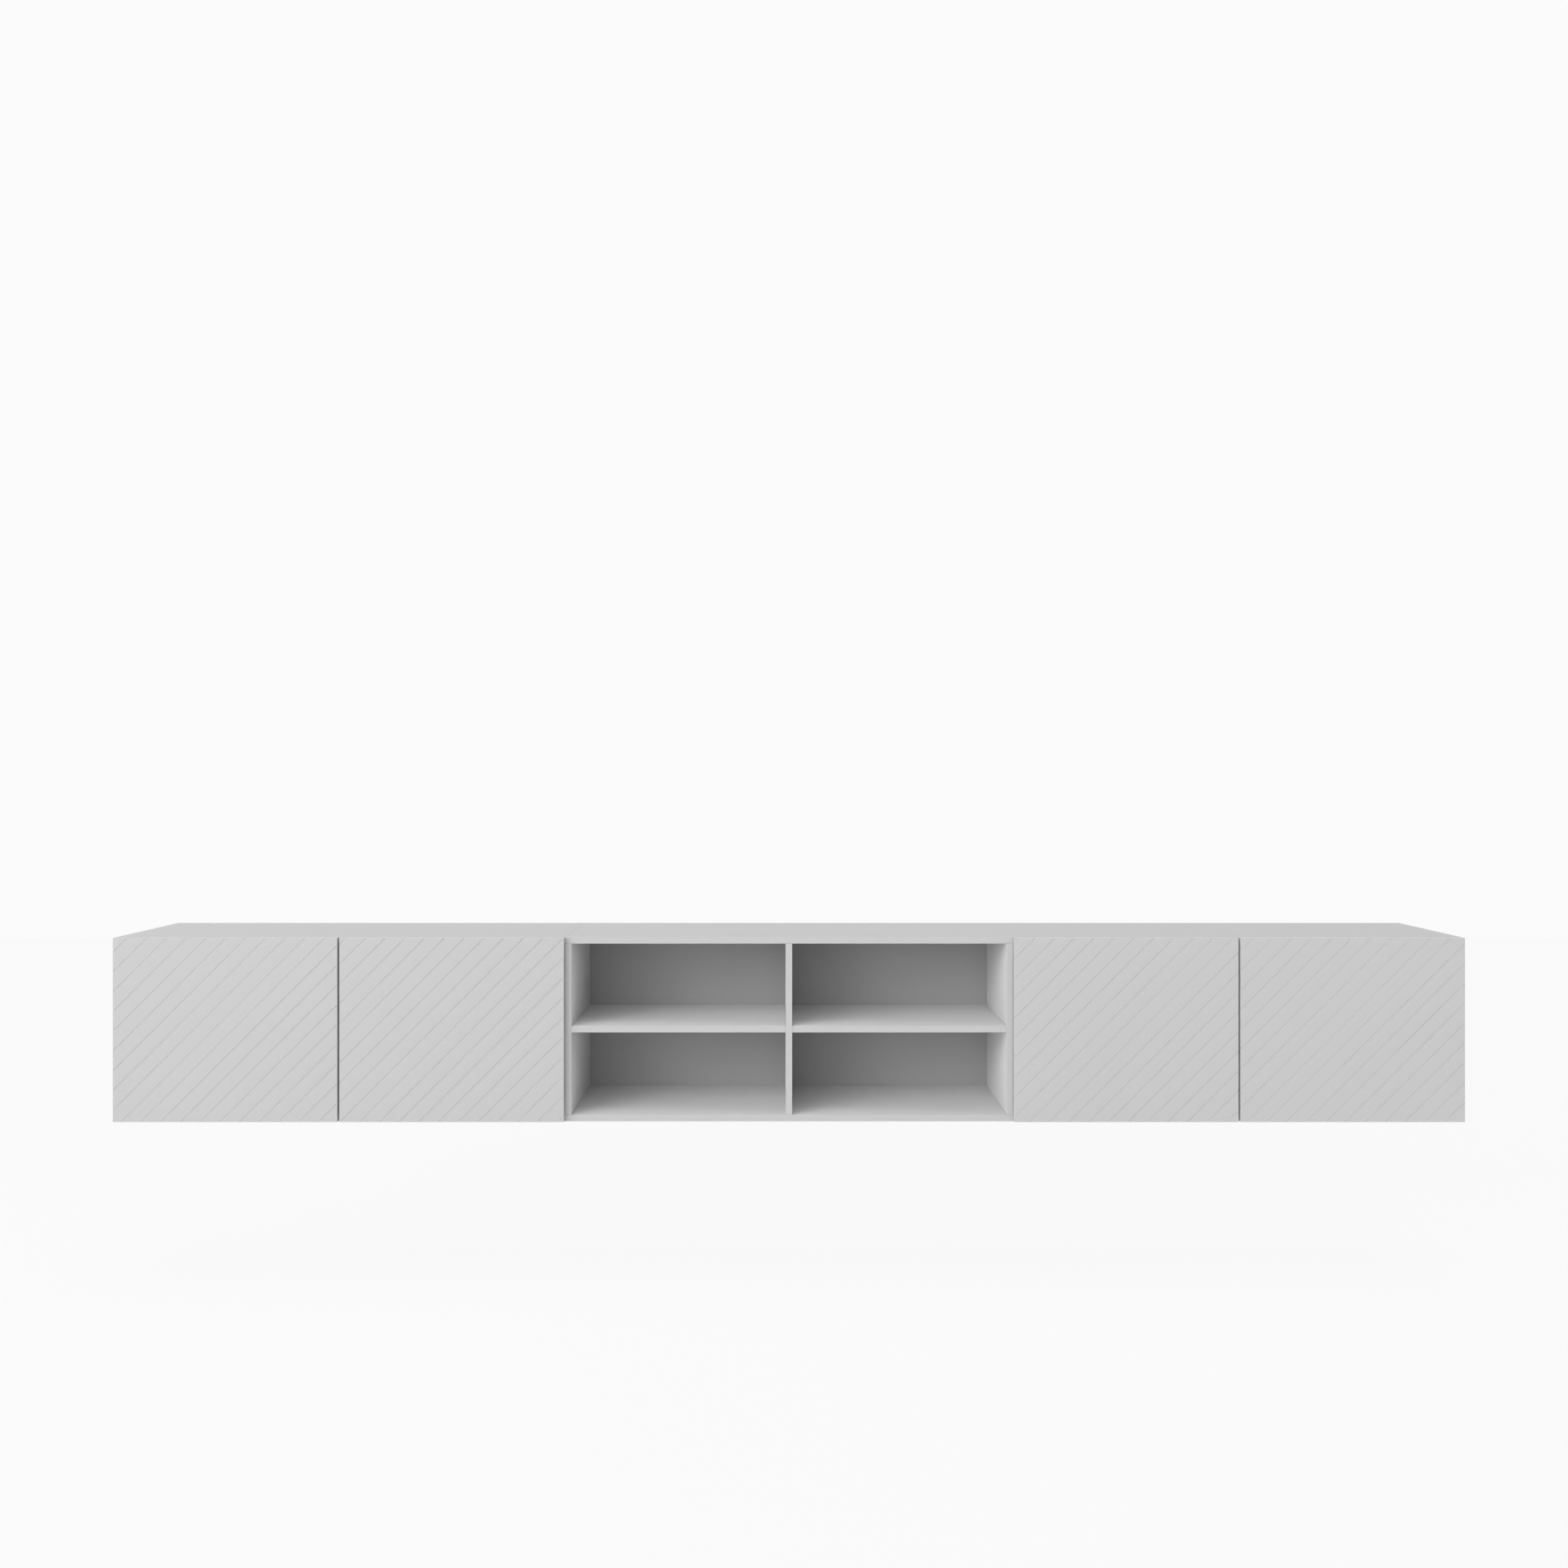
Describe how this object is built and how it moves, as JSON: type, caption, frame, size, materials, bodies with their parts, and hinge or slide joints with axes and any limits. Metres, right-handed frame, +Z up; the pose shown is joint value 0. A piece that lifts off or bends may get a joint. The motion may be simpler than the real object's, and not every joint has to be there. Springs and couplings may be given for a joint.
{
  "type": "floating tv cabinet",
  "caption": "Long low wall-hung TV cabinet with grooved push-to-open doors at both ends and open niches in the middle, hung on a steel wall rail.",
  "frame": {"origin": "middle of the wall rail's back face, on the wall", "axes": "+X to the right seen from the front, +Y into the wall, +Z up; the doors face -Y"},
  "size_m": [3.3, 0.4, 0.452],
  "materials": {
    "carcass_board": "matt light grey melamine-faced board",
    "door_front": "matt light grey lacquered fibreboard with milled V-grooves",
    "back_board": "matt light grey faced hardboard",
    "hinge_steel": "nickel-plated pressed steel",
    "fixing_steel": "zinc-plated steel",
    "plunger_steel": "zinc-plated turned steel",
    "latch_plastic": "grey moulded plastic"
  },
  "bodies": {
    "carcass": {"left_top_panel": "carcass_board", "left_bottom_panel": "carcass_board", "left_back_panel": "back_board", "left_hanging_rail": "fixing_steel", "middle_top_panel": "carcass_board", "middle_bottom_panel": "carcass_board", "middle_back_panel": "back_board", "middle_hanging_rail": "fixing_steel", "right_top_panel": "carcass_board", "right_bottom_panel": "carcass_board", "right_back_panel": "back_board", "right_hanging_rail": "fixing_steel", "left_outer_side": "carcass_board", "left_inner_side": "carcass_board", "middle_left_side": "carcass_board", "middle_right_side": "carcass_board", "right_inner_side": "carcass_board", "right_outer_side": "carcass_board", "middle_divider": "carcass_board", "left_niche_shelf": "carcass_board", "right_niche_shelf": "carcass_board", "left_loose_shelf": "carcass_board", "right_loose_shelf": "carcass_board", "wall_rail": "fixing_steel", "door_1_upper_hinge_arm": "hinge_steel", "door_1_lower_hinge_arm": "hinge_steel", "door_1_latch_housing": "latch_plastic", "door_2_upper_hinge_arm": "hinge_steel", "door_2_lower_hinge_arm": "hinge_steel", "door_2_latch_housing": "latch_plastic", "door_3_upper_hinge_arm": "hinge_steel", "door_3_lower_hinge_arm": "hinge_steel", "door_3_latch_housing": "latch_plastic", "door_4_upper_hinge_arm": "hinge_steel", "door_4_lower_hinge_arm": "hinge_steel", "door_4_latch_housing": "latch_plastic"},
    "door_1": {"door_1": "door_front", "door_1_upper_hinge_cup": "hinge_steel", "door_1_upper_hinge_pin": "fixing_steel", "door_1_lower_hinge_cup": "hinge_steel", "door_1_lower_hinge_pin": "fixing_steel"},
    "door_1_plunger": {"door_1_latch_plunger": "plunger_steel"},
    "door_2": {"door_2": "door_front", "door_2_upper_hinge_cup": "hinge_steel", "door_2_upper_hinge_pin": "fixing_steel", "door_2_lower_hinge_cup": "hinge_steel", "door_2_lower_hinge_pin": "fixing_steel"},
    "door_2_plunger": {"door_2_latch_plunger": "plunger_steel"},
    "door_3": {"door_3": "door_front", "door_3_upper_hinge_cup": "hinge_steel", "door_3_upper_hinge_pin": "fixing_steel", "door_3_lower_hinge_cup": "hinge_steel", "door_3_lower_hinge_pin": "fixing_steel"},
    "door_3_plunger": {"door_3_latch_plunger": "plunger_steel"},
    "door_4": {"door_4": "door_front", "door_4_upper_hinge_cup": "hinge_steel", "door_4_upper_hinge_pin": "fixing_steel", "door_4_lower_hinge_cup": "hinge_steel", "door_4_lower_hinge_pin": "fixing_steel"},
    "door_4_plunger": {"door_4_latch_plunger": "plunger_steel"}
  },
  "joints": [
    {"name": "door_1_swing", "type": "hinge", "parent": "carcass", "child": "door_1", "pos_m": [-1.6426, -0.393, -0.141], "axis": [0, 0, -1], "range_deg": [0, 95]},
    {"name": "door_1_plunger_travel", "type": "slide", "parent": "carcass", "child": "door_1_plunger", "axis": [0, -1, 0], "range_m": [0, 0.037]},
    {"name": "door_2_swing", "type": "hinge", "parent": "carcass", "child": "door_2", "pos_m": [-0.5574, -0.393, -0.141], "axis": [0, 0, 1], "range_deg": [0, 95]},
    {"name": "door_2_plunger_travel", "type": "slide", "parent": "carcass", "child": "door_2_plunger", "axis": [0, -1, 0], "range_m": [0, 0.037]},
    {"name": "door_3_swing", "type": "hinge", "parent": "carcass", "child": "door_3", "pos_m": [0.5574, -0.393, -0.141], "axis": [0, 0, -1], "range_deg": [0, 95]},
    {"name": "door_3_plunger_travel", "type": "slide", "parent": "carcass", "child": "door_3_plunger", "axis": [0, -1, 0], "range_m": [0, 0.037]},
    {"name": "door_4_swing", "type": "hinge", "parent": "carcass", "child": "door_4", "pos_m": [1.6426, -0.393, -0.141], "axis": [0, 0, 1], "range_deg": [0, 95]},
    {"name": "door_4_plunger_travel", "type": "slide", "parent": "carcass", "child": "door_4_plunger", "axis": [0, -1, 0], "range_m": [0, 0.037]}
  ],
  "couplings": [
    {"joint": "door_1_plunger_travel", "follows": "door_1_swing", "m_per_rad": 0.0223},
    {"joint": "door_2_plunger_travel", "follows": "door_2_swing", "m_per_rad": 0.0223},
    {"joint": "door_3_plunger_travel", "follows": "door_3_swing", "m_per_rad": 0.0223},
    {"joint": "door_4_plunger_travel", "follows": "door_4_swing", "m_per_rad": 0.0223}
  ]
}
